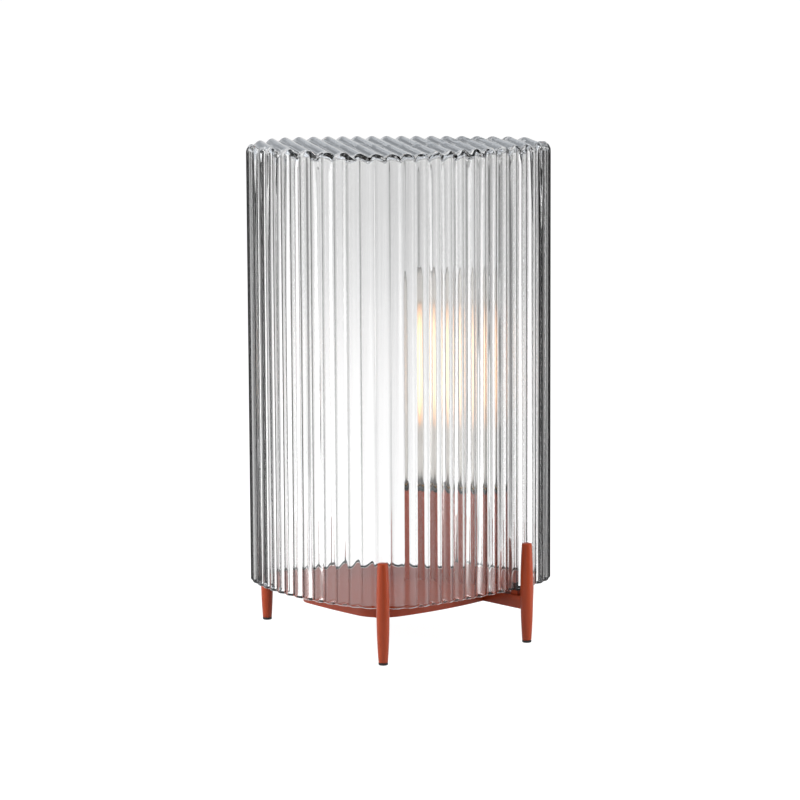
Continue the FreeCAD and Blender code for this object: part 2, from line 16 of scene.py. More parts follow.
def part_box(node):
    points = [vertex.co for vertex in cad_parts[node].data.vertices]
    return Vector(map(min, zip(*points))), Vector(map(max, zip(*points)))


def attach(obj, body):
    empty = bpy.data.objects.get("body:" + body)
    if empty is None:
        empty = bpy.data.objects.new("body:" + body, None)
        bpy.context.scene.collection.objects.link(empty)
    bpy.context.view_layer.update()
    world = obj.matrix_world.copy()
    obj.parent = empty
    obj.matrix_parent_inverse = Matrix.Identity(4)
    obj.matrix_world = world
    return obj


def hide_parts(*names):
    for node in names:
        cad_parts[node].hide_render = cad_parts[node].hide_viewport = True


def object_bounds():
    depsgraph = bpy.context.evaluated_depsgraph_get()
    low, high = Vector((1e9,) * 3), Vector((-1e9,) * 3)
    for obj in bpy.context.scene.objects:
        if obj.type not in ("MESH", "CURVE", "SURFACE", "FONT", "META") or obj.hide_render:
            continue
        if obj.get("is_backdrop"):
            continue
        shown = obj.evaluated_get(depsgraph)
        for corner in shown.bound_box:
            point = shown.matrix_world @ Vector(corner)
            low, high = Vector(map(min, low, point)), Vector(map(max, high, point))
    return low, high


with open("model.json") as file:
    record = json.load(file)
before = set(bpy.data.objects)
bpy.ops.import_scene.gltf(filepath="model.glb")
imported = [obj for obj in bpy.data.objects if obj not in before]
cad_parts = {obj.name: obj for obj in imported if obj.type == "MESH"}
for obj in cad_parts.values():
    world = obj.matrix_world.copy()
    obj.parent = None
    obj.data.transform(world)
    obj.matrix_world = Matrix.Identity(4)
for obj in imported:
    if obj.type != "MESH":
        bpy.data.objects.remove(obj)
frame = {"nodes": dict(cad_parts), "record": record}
nodes = frame["nodes"]
cad_low, cad_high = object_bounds()
MM = 0.001
print("lamp box in mm:", [round(v / MM, 1) for v in cad_high - cad_low])


# %% [markdown]
# A finish is a small network of shader nodes.  Adding each node by hand takes many lines, so a few
# helpers come first.  Where they take a value, it is a plain one or the output of another node.

# %% Helpers for shader nodes
def feed(tree, socket, value):
    """Gives an input a plain value, or the output of another node."""
    if hasattr(value, "is_output"):
        tree.links.new(value, socket)
    else:
        socket.default_value = value


def math_node(tree, operation, first, second=0.0):
    """One arithmetic step."""
    node = tree.nodes.new("ShaderNodeMath")
    node.operation = operation
    feed(tree, node.inputs[0], first)
    feed(tree, node.inputs[1], second)
    return node.outputs[0]


def map_range(tree, value, source, target=(0.0, 1.0), smooth=False):
    """A value carried from one range to another, and held at the target's two ends."""
    node = tree.nodes.new("ShaderNodeMapRange")
    node.interpolation_type = "SMOOTHSTEP" if smooth else "LINEAR"
    node.inputs["From Min"].default_value, node.inputs["From Max"].default_value = source
    node.inputs["To Min"].default_value, node.inputs["To Max"].default_value = target
    tree.links.new(value, node.inputs["Value"])
    return node.outputs["Result"]


def split(tree, vector):
    """The three parts of a vector, by the names X, Y and Z."""
    node = tree.nodes.new("ShaderNodeSeparateXYZ")
    tree.links.new(vector, node.inputs[0])
    return node.outputs


def mix(tree, kind, factor, first, second):
    """A blend of two numbers (kind FLOAT) or of two colours (kind RGBA)."""
    node = tree.nodes.new("ShaderNodeMix")
    node.data_type = kind
    feed(tree, node.inputs["Factor"], factor)
    feed(tree, node.inputs["A"], first)
    feed(tree, node.inputs["B"], second)
    return node.outputs["Result"]


def mix_shaders(tree, factor, first, second):
    """The first shader at factor 0, the second one at factor 1."""
    node = tree.nodes.new("ShaderNodeMixShader")
    feed(tree, node.inputs["Fac"], factor)
    tree.links.new(first, node.inputs[1])
    tree.links.new(second, node.inputs[2])
    return node.outputs["Shader"]


def own_place(tree):
    """Where on the object a point lies, in metres."""
    return tree.nodes.new("ShaderNodeTexCoord").outputs["Object"]


# %% [markdown]
# Most finishes here need the same two effects: a fine grain that roughens the surface a little, and
# slow changes of tone.  Pictures of paint and metal could carry them too, but noise has no seams.
# Each is a node group, made once, with named inputs, so that every finish can set its own scale and
# strength.

# %% Shared surface effects
GRAIN_DETAIL = 3.0
CLOUD_DETAIL = 4.0


def new_group(name, inputs, outputs):
    """An empty node group with its sockets, and its two end nodes."""
    group = bpy.data.node_groups.new(name, "ShaderNodeTree")
    for label, kind, value in inputs:
        socket = group.interface.new_socket(label, in_out="INPUT", socket_type=kind)
        socket.default_value = value
    for label, kind in outputs:
        group.interface.new_socket(label, in_out="OUTPUT", socket_type=kind)
    return group, group.nodes.new("NodeGroupInput"), group.nodes.new("NodeGroupOutput")


def noise(tree, scale, detail):
    """A noise texture on the object's own coordinates."""
    texture = tree.nodes.new("ShaderNodeTexNoise")
    texture.inputs["Detail"].default_value = detail
    tree.links.new(own_place(tree), texture.inputs["Vector"])
    tree.links.new(scale, texture.inputs["Scale"])
    return texture.outputs["Fac"]


def make_grain_group():
    """Fine grain: a height for a bump, and a mask that roughness can follow."""
    group, start, end = new_group(
        "fine_grain",
        (("Grains per metre", "NodeSocketFloat", 1500.0), ("Softness", "NodeSocketFloat", 2.0)),
        (("Height", "NodeSocketFloat"), ("Mask", "NodeSocketFloat")))
    fine = noise(group, start.outputs["Grains per metre"], GRAIN_DETAIL)
    height = math_node(group, "POWER", fine, start.outputs["Softness"])
    group.links.new(height, end.inputs["Height"])
    group.links.new(fine, end.inputs["Mask"])
    return group


def make_tone_group():
    """Slow clouds of tone between two colours."""
    group, start, end = new_group(
        "slow_tone",
        (("Tone A", "NodeSocketColor", (1, 1, 1, 1)), ("Tone B", "NodeSocketColor", (0, 0, 0, 1)),
         ("Clouds per metre", "NodeSocketFloat", 30.0)),
        (("Color", "NodeSocketColor"),))
    clouds = noise(group, start.outputs["Clouds per metre"], CLOUD_DETAIL)
    colour = mix(group, "RGBA", clouds, start.outputs["Tone A"], start.outputs["Tone B"])
    group.links.new(colour, end.inputs["Color"])
    return group


grain_group = make_grain_group()
tone_group = make_tone_group()
print("shared effects:", grain_group.name, tone_group.name)


# %% [markdown]
# A solid finish in this lamp is a Principled shader whose colour comes from the tone group and
# whose grain comes from the grain group.  The helpers take colours as they look on a screen and
# turn them into the linear values that the renderer works with.

# %% A helper that makes a finish
GRAIN_HEIGHT = 0.2 * MM
ROUGHNESS_SPREAD = 0.1       # from the smoothest to the roughest grain


def linear(red, green, blue):
    """A screen colour, 0 to 255, as the linear colour that a shader takes."""
    steps = [v / 255 for v in (red, green, blue)]
    return tuple(v / 12.92 if v <= 0.04045 else ((v + 0.055) / 1.055) ** 2.4 for v in steps) + (1.0,)


def new_material(name):
    """A material with its node tree and its Principled shader."""
    material = bpy.data.materials.new(name)
    material.use_nodes = True
    return material, material.node_tree, material.node_tree.nodes["Principled BSDF"]


def group_node(tree, group, **values):
    """A group placed in a material with its own values."""
    node = tree.nodes.new("ShaderNodeGroup")
    node.node_tree = group
    for label, value in values.items():
        node.inputs[label.replace("_", " ")].default_value = value
    return node


def add_bump(tree, shader, height, strength, depth):
    """Relief from a height, on the shader's normal."""
    relief = tree.nodes.new("ShaderNodeBump")
    relief.inputs["Strength"].default_value = strength
    relief.inputs["Distance"].default_value = depth
    tree.links.new(height, relief.inputs["Height"])
    tree.links.new(relief.outputs["Normal"], shader.inputs["Normal"])


def finish(name, tone_a, tone_b, roughness, metallic=0.0, grains=1500.0, bump=0.02, gloss=0.5):
    """A solid finish with clouds of tone, a fine grain and roughness that follows the grain."""
    material, tree, shader = new_material(name)
    shader.inputs["Metallic"].default_value = metallic
    shader.inputs["Specular IOR Level"].default_value = gloss
    tone = group_node(tree, tone_group, Tone_A=tone_a, Tone_B=tone_b)
    tree.links.new(tone.outputs["Color"], shader.inputs["Base Color"])
    grain = group_node(tree, grain_group, Grains_per_metre=grains)
    spread = (roughness - ROUGHNESS_SPREAD / 2, roughness + ROUGHNESS_SPREAD / 2)
    rough = map_range(tree, grain.outputs["Mask"], (0.0, 1.0), spread)
    tree.links.new(rough, shader.inputs["Roughness"])
    add_bump(tree, shader, grain.outputs["Height"], bump, GRAIN_HEIGHT)
    return material


# %% [markdown]
# The base is powder-coated metal in a rust red, satin, with a fine texture.  The small parts of the
# lampholder are black mouldings, brass and zinc-plated steel.  One plain colour for each would do,
# but two tones that lie close together keep them from looking flat.

# %% Solid finishes
rust_paint = finish("rust_powder_coat", linear(156, 58, 20), linear(144, 52, 18), 0.34,
                    grains=2600.0, bump=0.3, gloss=0.32)
black_plastic = finish("black_moulding", linear(14, 13, 13), linear(20, 19, 19), 0.5,
                       grains=1800.0, bump=0.1, gloss=0.2)
black_rubber = finish("black_rubber", linear(24, 24, 24), linear(36, 35, 34), 0.7,
                      grains=1200.0, bump=0.2)
white_plastic = finish("white_moulding", linear(226, 224, 216), linear(214, 210, 200), 0.35, bump=0.05)
brass = finish("rolled_brass", linear(206, 160, 88), linear(186, 138, 70), 0.24,
               metallic=1.0, grains=900.0)
steel = finish("zinc_plated_steel", linear(176, 176, 174), linear(150, 150, 150), 0.32,
               metallic=1.0, grains=700.0)
nickel = finish("nickel_wire", linear(200, 192, 180), linear(180, 170, 156), 0.25, metallic=1.0)
print("solid finishes:", len(bpy.data.materials))


# %% [markdown]
# Where an upright wall of thick glass turns away from the eye, the wall looks nearly black.  Here
# that shade is painted: a near-black matt shader is mixed in as a dark line at the edge of each rib,
# and as broad painted shade bands at the shade's left and right corners, which are picked out by
# their distance from the middle.  Layer Weight says how far a wall turns away.  The lying faces of
# the top are left out, because light comes down on them from the whole room.

# %% Painted shade lines in the glass
PAINTED_SHADE_BETWEEN = (0.58, 0.84)            # how far a wall turns away where its painted shade line starts and is whole
PAINTED_CORNER_SHADE_FROM = (92.0 * MM, 100.0 * MM)   # metres from the middle between which the painted corner shade begins
PAINTED_CORNER_SHADE_SHARE = 0.2                      # how much painted shade the corners get, as if their wall turned further away
UPRIGHT = (0.08, 0.35)                 # slopes between which a wall stops counting as upright


def painted_edge_shade(tree, facing, strength):
    """A mask of painted shade: lines where an upright wall turns away, and bands at the corners."""
    from_middle = math_node(tree, "ABSOLUTE", split(tree, own_place(tree))["X"])
    corners = map_range(tree, from_middle, PAINTED_CORNER_SHADE_FROM, (0.0, PAINTED_CORNER_SHADE_SHARE), smooth=True)
    away = math_node(tree, "ADD", facing, corners)
    painted_shade_lines = map_range(tree, away, PAINTED_SHADE_BETWEEN, (0.0, strength), smooth=True)
    normal = tree.nodes.new("ShaderNodeNewGeometry").outputs["Normal"]
    slope = math_node(tree, "ABSOLUTE", split(tree, normal)["Z"])
    upright = map_range(tree, slope, UPRIGHT, (1.0, 0.0), smooth=True)
    return math_node(tree, "MULTIPLY", painted_shade_lines, upright)


# %% [markdown]
# Glass is clear, so its looks come from what it bends and mirrors, and from painted shade on its
# rims and edges.  A clear shader could be a plain Glass node, but the Principled one keeps tint,
# the painted rim shade and gloss together and can be exported.  Lamps have to shine through the
# glass, so for shadow rays it is a see-through grey.

# %% Glass finishes
GLASS_SHADOW = (0.74, 0.74, 0.74, 1.0)
WAVES_PER_METRE = 60.0                 # slow waves, as pressed glass has them
WAVE_HEIGHT = 1.0 * MM


def glass_finish(name, tint, painted_rim_shade, ior, roughness, painted_rim_power, waves, painted_edge_shade_strength):
    """Clear glass with painted shade on its rims and edges, faint waves and light shadows."""
    material, tree, shader = new_material(name)
    shader.inputs["Transmission Weight"].default_value = 1.0
    shader.inputs["Roughness"].default_value = roughness
    shader.inputs["IOR"].default_value = ior
    # Painted shade: the base colour turns towards the near-black rim colour where the surface turns
    # away.
    weight = tree.nodes.new("ShaderNodeLayerWeight")
    weight.inputs["Blend"].default_value = 0.5
    facing = weight.outputs["Facing"]
    colour = mix(tree, "RGBA", math_node(tree, "POWER", facing, painted_rim_power), tint, painted_rim_shade)
    tree.links.new(colour, shader.inputs["Base Color"])
    if waves:
        grain = group_node(tree, grain_group, Grains_per_metre=WAVES_PER_METRE, Softness=1.0)
        add_bump(tree, shader, grain.outputs["Height"], waves, WAVE_HEIGHT)
    # Painted shade: a near-black matt shader is mixed in along the lines and at the corners.
    painted_shade_bsdf = tree.nodes.new("ShaderNodeBsdfDiffuse")
    painted_shade_bsdf.inputs["Color"].default_value = painted_rim_shade
    painted_shade_lines = painted_edge_shade(tree, facing, painted_edge_shade_strength)
    seen = mix_shaders(tree, painted_shade_lines, shader.outputs["BSDF"], painted_shade_bsdf.outputs["BSDF"])
    clear = tree.nodes.new("ShaderNodeBsdfTransparent")
    clear.inputs["Color"].default_value = GLASS_SHADOW
    shadow_ray = tree.nodes.new("ShaderNodeLightPath").outputs["Is Shadow Ray"]
    surface = mix_shaders(tree, shadow_ray, seen, clear.outputs["BSDF"])
    tree.links.new(surface, tree.nodes["Material Output"].inputs["Surface"])
    return material


# The second colour of each glass is its painted rim shade; the last number is the strength of its
# painted edge shade lines.
ribbed_glass = glass_finish("ribbed_glass", linear(254, 254, 254), linear(12, 12, 14), ior=1.48,
                            roughness=0.01, painted_rim_power=2.4, waves=0.006, painted_edge_shade_strength=0.95)
bulb_glass = glass_finish("bulb_glass", linear(254, 252, 249), linear(160, 152, 140), ior=1.45,
                          roughness=0.3, painted_rim_power=3.0, waves=0.0, painted_edge_shade_strength=0.0)
print("glass finishes:", ribbed_glass.name, bulb_glass.name)


# %% [markdown]
# The bulb is lit.  Its filaments are coated strips that glow orange, brighter in the middle of
# their length than at their ends.  The glow is an emission whose colour fades along the strip, so
# it needs no lamp.

# %% The glowing finish
RIPPLES_PER_METRE = 900.0
RIPPLE_DARK = 0.75           # the ripple's darker tone, as a share of the lighter one
GLOW_WHOLE = 0.22            # of a strip's length, to each side of its middle, glows fully
GLOW_END = 0.12              # what is left of the glow at the ends


def glow_finish(name, colour, strength, low, high):
    """A strip that glows, with a fine ripple along it, and fades towards its ends."""
    material, tree, shader = new_material(name)
    grain = group_node(tree, grain_group, Grains_per_metre=RIPPLES_PER_METRE, Softness=1.0)
    darker = tuple(RIPPLE_DARK * v for v in colour[:3]) + (1.0,)
    rippled = mix(tree, "RGBA", grain.outputs["Mask"], darker, colour)
    tree.links.new(rippled, shader.inputs["Base Color"])
    height = split(tree, own_place(tree))["Z"]
    from_middle = math_node(tree, "ABSOLUTE", math_node(tree, "SUBTRACT", height, (low + high) / 2))
    fade = map_range(tree, from_middle, ((high - low) / 2, (high - low) * GLOW_WHOLE), (GLOW_END, 1.0))
    dimmed = tree.nodes.new("ShaderNodeVectorMath")
    dimmed.operation = "SCALE"
    tree.links.new(rippled, dimmed.inputs[0])
    tree.links.new(fade, dimmed.inputs["Scale"])
    tree.links.new(dimmed.outputs["Vector"], shader.inputs["Emission Color"])
    shader.inputs["Emission Strength"].default_value = strength
    return material


strip_low, strip_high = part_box("filaments")
glow = glow_finish("glowing_strip", linear(255, 196, 146), 5.0, strip_low.z, strip_high.z)
print("glow:", glow.name)


# %% [markdown]
# Every solid of the frame that stays in view gets one of these finishes.  The frame's record says
# which finish belongs to which node, so one loop dresses them all, and no node can be forgotten.

# %% Finish the frame's own solids
FINISHES = {
    "rust_paint": rust_paint,
    "black_plastic": black_plastic,
    "black_rubber": black_rubber,
    "white_plastic": white_plastic,
    "brass": brass,
    "steel": steel,
    "nickel": nickel,
    "ribbed_glass": ribbed_glass,
    "bulb_glass": bulb_glass,
    "filament": glow,
}


def dress(piece, material):
    """Gives a piece one finish."""
    piece.data.materials.clear()
    piece.data.materials.append(material)


for row in frame["record"]["subparts"]:
    dress(nodes[row["node"]], FINISHES[row["material_slot"]])
print("dressed", len(nodes), "solids")


# %% [markdown]
# Seen from above the shade is a rounded triangle: three corner circles joined by three bowed sides
# that touch them.  A curve object could hold it.  A list of arcs is chosen, because a point and its
# exact outward direction can then be asked for at any distance along it.

# %% The shade's outline
SHADE_CORNERS = ((-8.5, -9.0, 44.0), (63.5, 53.5, 40.5), (-56.5, 52.5, 47.5))   # x, y and radius in mm
SHADE_BOWS = (400.0, 330.0, 168.0)                                              # radius of each side
PLAN_MIDDLE = np.array((0.0, 30.0))


def side_centres(corners, bows):
    """The centre and radius of each side's arc, which touches the corner circles at both its ends."""
    sides = []
    for index, bow in enumerate(bows):
        xa, ya, ra = corners[index]
        xb, yb, rb = corners[(index + 1) % len(corners)]
        span = math.hypot(xb - xa, yb - ya)
        along = ((bow - ra) ** 2 - (bow - rb) ** 2 + span ** 2) / (2 * span)
        back = math.sqrt((bow - ra) ** 2 - along ** 2)
        ux, uy = (xb - xa) / span, (yb - ya) / span
        sides.append((xa + ux * along - uy * back, ya + uy * along + ux * back, bow))
    return sides


def outline_arcs(corners, bows):
    """Arcs of the outline in order: centre x, centre y, radius, start angle, turn."""
    sides = side_centres(corners, bows)
    arcs = []
    for index, corner in enumerate(corners):
        following = corners[(index + 1) % len(corners)]
        before, after = sides[index - 1], sides[index]
        start = math.atan2(corner[1] - before[1], corner[0] - before[0])
        middle = math.atan2(corner[1] - after[1], corner[0] - after[0])
        end = math.atan2(following[1] - after[1], following[0] - after[0])
        arcs.append((*corner, start, (middle - start) % math.tau))
        arcs.append((*after, middle, (end - middle) % math.tau))
    return arcs


def outline_points(corners, bows, count):
    """Evenly spaced points round the outline, with their outward directions and the whole length."""
    arcs = outline_arcs(corners, bows)
    length = sum(radius * turn for _, _, radius, _, turn in arcs)
    points, normals = [], []
    for step in range(count):
        distance = length * step / count
        for cx, cy, radius, start, turn in arcs:
            if distance <= radius * turn:
                break
            distance -= radius * turn
        angle = start + distance / radius
        normals.append((math.cos(angle), math.sin(angle)))
        points.append((cx + radius * math.cos(angle), cy + radius * math.sin(angle)))
    return np.array(points), np.array(normals), length


# %% [markdown]
# The outline above has its own origin.  The frame's shade stands where the middle of its box says,
# so the difference of the two middles is the shift that every ring of the glass gets.

# %% Fit the outline to the frame
FITTING_POINTS = 3000

plan, _, shade_length = outline_points(SHADE_CORNERS, SHADE_BOWS, FITTING_POINTS)
shade_low, shade_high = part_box("glass_shade")
plan_shift = np.array([(shade_low.x + shade_high.x) / 2, (shade_low.y + shade_high.y) / 2]) / MM
plan_shift -= (plan.max(axis=0) + plan.min(axis=0)) / 2
print("outline length in mm:", round(shade_length, 1), "shift:", plan_shift.round(2))


# %% [markdown]
# The glass has 56 ribs round its wall.  A rib is an arc from groove to groove, and the groove
# between two ribs is softly rounded, as pressed glass is.  On the top the ribs run side by side, a
# little off the front-to-back line, and they come over the shoulder to meet the ribs of the wall.
# A displaced surface could give them, but a formula gives each point its exact depth.

# %% Grooves of the wall and of the top
RIB_COUNT = 56
POINTS_PER_RIB = 16
FIRST_GROOVE = 0.44          # of a rib, from the left end of the front corner
RIB_DEPTH = 1.8
GROOVE_ROUND = 0.12          # of a rib
TOP_RIB_PITCH = 10.15
TOP_RIB_DEPTH = 2.4
TOP_RIB_TURN = math.radians(9.3)
TOP_FIRST_GROOVE = -1.4      # mm from the middle of the plan


def groove(phase, pitch, depth):
    """Depth below the crest.  The phase is a whole number in the grooves."""
    away = np.abs((phase + 0.5) % 1.0 - 0.5)
    soft = np.sqrt(away ** 2 + GROOVE_ROUND ** 2) - GROOVE_ROUND
    soft = soft * 0.5 / (math.sqrt(0.25 + GROOVE_ROUND ** 2) - GROOVE_ROUND)
    radius = (pitch * pitch / 4 + depth * depth) / (2 * depth)
    return radius - np.sqrt(radius ** 2 - ((0.5 - soft) * pitch) ** 2)


def top_groove(points):
    """The dip of the top's parallel ribs at plan points."""
    across = (points[:, 0] - PLAN_MIDDLE[0]) * math.cos(TOP_RIB_TURN)
    across = across + (points[:, 1] - PLAN_MIDDLE[1]) * math.sin(TOP_RIB_TURN)
    return groove((across - TOP_FIRST_GROOVE) / TOP_RIB_PITCH, TOP_RIB_PITCH, TOP_RIB_DEPTH)


def smooth_step(value):
    """A soft change from 0 to 1."""
    value = np.clip(value, 0.0, 1.0)
    return value * value * (3 - 2 * value)


# %% [markdown]
# The shoulder between wall and top is narrow along the front and the back and wide where the left
# and right corners turn, so its radius is worked out for each point of the outline.  All measures
# are in millimetres.

# %% Measures of the glass
GLASS_WALL = 3.0             # behind the grooves
GLASS_TOP = 2.6
EDGE_ROUND = 1.8             # the shoulder along the front and the back
CORNER_ROUND = 6.5           # the shoulder where the left and right corners turn
CORNER_FROM = 0.55           # how far the wall looks sideways where the wide shoulder starts
CORNER_SPAN = 0.4            # and how much further until it is whole
INNER_SHOULDER = 2.5
TOP_THICKER = 0.5            # the wall grows that much thicker towards the top, on its inside
THICKER_HEIGHT = 80.0        # over that height
RIM_ROUND = 1.5

ring_points = RIB_COUNT * POINTS_PER_RIB
points, normals, shade_length = outline_points(SHADE_CORNERS, SHADE_BOWS, ring_points)
phase = np.arange(ring_points) / POINTS_PER_RIB - FIRST_GROOVE
wall_groove = groove(phase, shade_length / RIB_COUNT, RIB_DEPTH)[:, None]
corner = smooth_step((np.abs(normals[:, 0]) - CORNER_FROM) / CORNER_SPAN)
shoulder = EDGE_ROUND + (CORNER_ROUND - EDGE_ROUND) * corner
rim_height, top_height = shade_low.z / MM, shade_high.z / MM
ceiling = top_height - GLASS_TOP
inset = RIB_DEPTH + GLASS_WALL
print("points in a ring:", ring_points)


# %% [markdown]
# The glass is one closed skin.  It starts in the middle of the inner ceiling, goes down the smooth
# inner wall, round the rim, up the ribbed outer wall, over the shoulder and back to the middle of
# the ribbed top.  A solid with cut grooves would do as well, but here each ring of that walk has
# the same number of points, so the skin is a plain grid of faces and refracts without creases.

# %% Rings from the ceiling down to the rim
CEILING_RINGS = 40
THICKER_RINGS = 10
THICKER_SHARE = 0.9          # the highest of them, as a share of the height over which the wall thins


def level(height):
    """The same height for every point of a ring."""
    return np.full(ring_points, height)


def ceiling_rings():
    """The inner ceiling, from near its middle to where the inner shoulder starts."""
    rings = []
    inner = points - normals * (inset + TOP_THICKER + INNER_SHOULDER)
    for share in np.linspace(1 / CEILING_RINGS, 1.0, CEILING_RINGS):
        ring = PLAN_MIDDLE + (inner - PLAN_MIDDLE) * share
        rings.append((ring, ceiling - top_groove(ring)))
    return rings


def inner_wall_rings():
    """The inner shoulder, and the stretch below it in which the wall gets thinner."""
    rings = []
    for angle in np.radians(np.arange(75.0, -1.0, -15.0)):
        ring = points - normals * (inset + TOP_THICKER + INNER_SHOULDER * (1 - math.cos(angle)))
        rings.append((ring, ceiling - top_groove(ring) - INNER_SHOULDER * (1 - math.sin(angle))))
    for share in np.linspace(THICKER_SHARE, 0.0, THICKER_RINGS):
        ring = points - normals * (inset + TOP_THICKER * share ** 2)
        rings.append((ring, level(ceiling - INNER_SHOULDER - THICKER_HEIGHT * (1 - share))))
    return rings


# %% [markdown]
# At the rim the skin turns from the smooth inside to the ribbed outside.  At the shoulder the
# grooves of the wall fade out while those of the top fade in, so neither set of ribs ends in a
# step.

# %% Rings from the rim up to the top
WALL_DROPS = (9.0, 6.0, 3.0)           # rings of the wall just below the shoulder
WALL_FADES_FROM, TOP_FADES_FROM = 20.0, 10.0   # degrees round the shoulder
FADE_SPAN = 70.0
TOP_RINGS = 64


def rim_rings():
    """Round the rim, from the inside to the grooves of the outside."""
    rings = []
    for angle in np.radians(np.arange(0.0, 91.0, 30.0)):
        ring = points - normals * (inset + RIM_ROUND * (1 - math.cos(angle)))
        rings.append((ring, level(rim_height + RIM_ROUND * (1 - math.sin(angle)))))
    for angle in np.radians(np.arange(90.0, -1.0, -30.0)):
        ring = points - normals * (wall_groove + RIM_ROUND * (1 - math.cos(angle)))
        rings.append((ring, level(rim_height + RIM_ROUND * (1 - math.sin(angle)))))
    return rings


def shoulder_rings():
    """The upper end of the outer wall, and the shoulder over it."""
    rings = [(points - normals * wall_groove, top_height - shoulder - drop) for drop in WALL_DROPS]
    for angle in range(0, 91, 9):
        turn = math.radians(angle)
        wall_share = 1.0 - smooth_step((angle - WALL_FADES_FROM) / FADE_SPAN)
        top_share = 1.0 - corner * (1.0 - smooth_step((angle - TOP_FADES_FROM) / FADE_SPAN))
        ring = points - normals * (shoulder[:, None] * (1 - math.cos(turn)) + wall_groove * wall_share)
        rise = top_height - shoulder * (1 - math.sin(turn)) - top_share * top_groove(ring)
        rings.append((ring, rise))
    return rings


def top_rings():
    """The ribbed top, from the shoulder to near its middle."""
    rings = []
    edge = points - normals * shoulder[:, None]
    for index in range(1, TOP_RINGS + 1):
        ring = PLAN_MIDDLE + (edge - PLAN_MIDDLE) * (1.0 - index / (TOP_RINGS + 1))
        rings.append((ring, top_height - top_groove(ring)))
    return rings


# %% [markdown]
# The rings are joined in their order: four corners of the grid make a face, and the first and the
# last ring close to one point each.  The new glass rides on the body that lifts off, and replaces
# the frame's solid.

# %% Join the rings to the glass skin
def add_piece(name, verts, faces):
    """A smooth piece in the scene, from points in metres and faces."""
    mesh = bpy.data.meshes.new(name)
    mesh.from_pydata(verts, [], faces)
    mesh.shade_smooth()
    piece = bpy.data.objects.new(name, mesh)
    bpy.context.scene.collection.objects.link(piece)
    return piece


def grid_faces(rows, count):
    """Faces between rings that lie one after the other and have the same number of points."""
    faces = []
    for row in range(rows - 1):
        for step in range(count):
            a = row * count + step
            b = row * count + (step + 1) % count
            faces.append((a, b, b + count, a + count))
    return faces


def skin_from_rings(name, rings, first_height, last_height):
    """A closed mesh from rings of equal length, with a point at each end."""
    count = len(rings[0][0])
    rows = [np.column_stack([ring + plan_shift, height]) for ring, height in rings]
    middle = PLAN_MIDDLE + plan_shift
    ends = [[*middle, first_height], [*middle, last_height]]
    verts = np.concatenate(rows + [np.array(ends)]) * MM
    faces = grid_faces(len(rows), count)
    last = (len(rows) - 1) * count
    start, finish_point = len(rows) * count, len(rows) * count + 1
    for step in range(count):
        following = (step + 1) % count
        faces.append((start, following, step))
        faces.append((finish_point, last + step, last + following))
    return add_piece(name, verts.tolist(), faces)


rings = ceiling_rings() + inner_wall_rings() + rim_rings() + shoulder_rings() + top_rings()
middle_height = top_height - float(top_groove(np.array([PLAN_MIDDLE]))[0])
shade = skin_from_rings("ribbed_shade", rings, middle_height - GLASS_TOP, middle_height)
dress(shade, ribbed_glass)
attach(shade, "shade")
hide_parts("glass_shade")
print("glass faces:", len(shade.data.polygons))


# %% [markdown]
# The legs are turned shapes: a half outline spun round an upright axis.  The helper takes the
# outline as radius and height, so that a leg is only a few numbers and a formula.

# %% A helper that turns a piece
TURNED_SEGMENTS = 64
SAME_POINT = 0.001 * MM      # points of the outline's ends fall together on the axis


def turned(name, outline, axis, material):
    """A mesh spun from (radius, height) points in mm round an upright axis at (x, y) in metres."""
    verts = []
    for radius, height in outline:
        for step in range(TURNED_SEGMENTS):
            angle = math.tau * step / TURNED_SEGMENTS
            verts.append((axis[0] + radius * MM * math.cos(angle),
                          axis[1] + radius * MM * math.sin(angle), height * MM))
    piece = add_piece(name, verts, grid_faces(len(outline), TURNED_SEGMENTS))
    shape = bmesh.new()
    shape.from_mesh(piece.data)
    bmesh.ops.remove_doubles(shape, verts=shape.verts, dist=SAME_POINT)
    bmesh.ops.recalc_face_normals(shape, faces=shape.faces)
    shape.to_mesh(piece.data)
    shape.free()
    piece.data.shade_smooth()
    dress(piece, material)
    return piece


# %% [markdown]
# A leg is a slim turned rod.  It is thickest at the height of the glass's rim, a little thinner at
# its top and thinnest at its foot.  A cylinder scaled ring by ring could do, but a formula gives
# all four legs the same smooth curve.  The top is softly rounded.

# %% Turn the legs
LEG_FOOT, LEG_BELLY, LEG_TOP = 3.2, 4.4, 3.45   # radii in mm
BELLY_HEIGHT = 35.0
TOP_ROUND = 1.0
FOOT_EDGE = ((0.4, 0.0), (0.1, 0.15))           # inset and rise of the small bevel under the leg
FOOT_RISE = 0.4
LEG_STEPS = 22
LEG_SIDES = ("front", "right", "rear", "left")


def leg_radius(height, low, high):
    """The belly's radius, less a share that grows with the square of the distance from it."""
    if height < BELLY_HEIGHT:
        share = (BELLY_HEIGHT - height) / (BELLY_HEIGHT - low)
        return LEG_BELLY - (LEG_BELLY - LEG_FOOT) * share ** 2
    share = (height - BELLY_HEIGHT) / (high - BELLY_HEIGHT)
    return LEG_BELLY - (LEG_BELLY - LEG_TOP) * share ** 2


def leg_outline(low, high):
    """Half the outline of a leg, from its foot to its top."""
    points = [(0.0, low)] + [(LEG_FOOT - inward, low + rise) for inward, rise in FOOT_EDGE]
    for height in np.linspace(low + FOOT_RISE, high - TOP_ROUND, LEG_STEPS):
        points.append((leg_radius(height, low, high), height))
    for angle in np.radians((20.0, 40.0, 60.0, 80.0, 90.0)):
        points.append((LEG_TOP - TOP_ROUND * (1 - math.cos(angle)),
                       high - TOP_ROUND * (1 - math.sin(angle))))
    return points + [(0.0, high)]


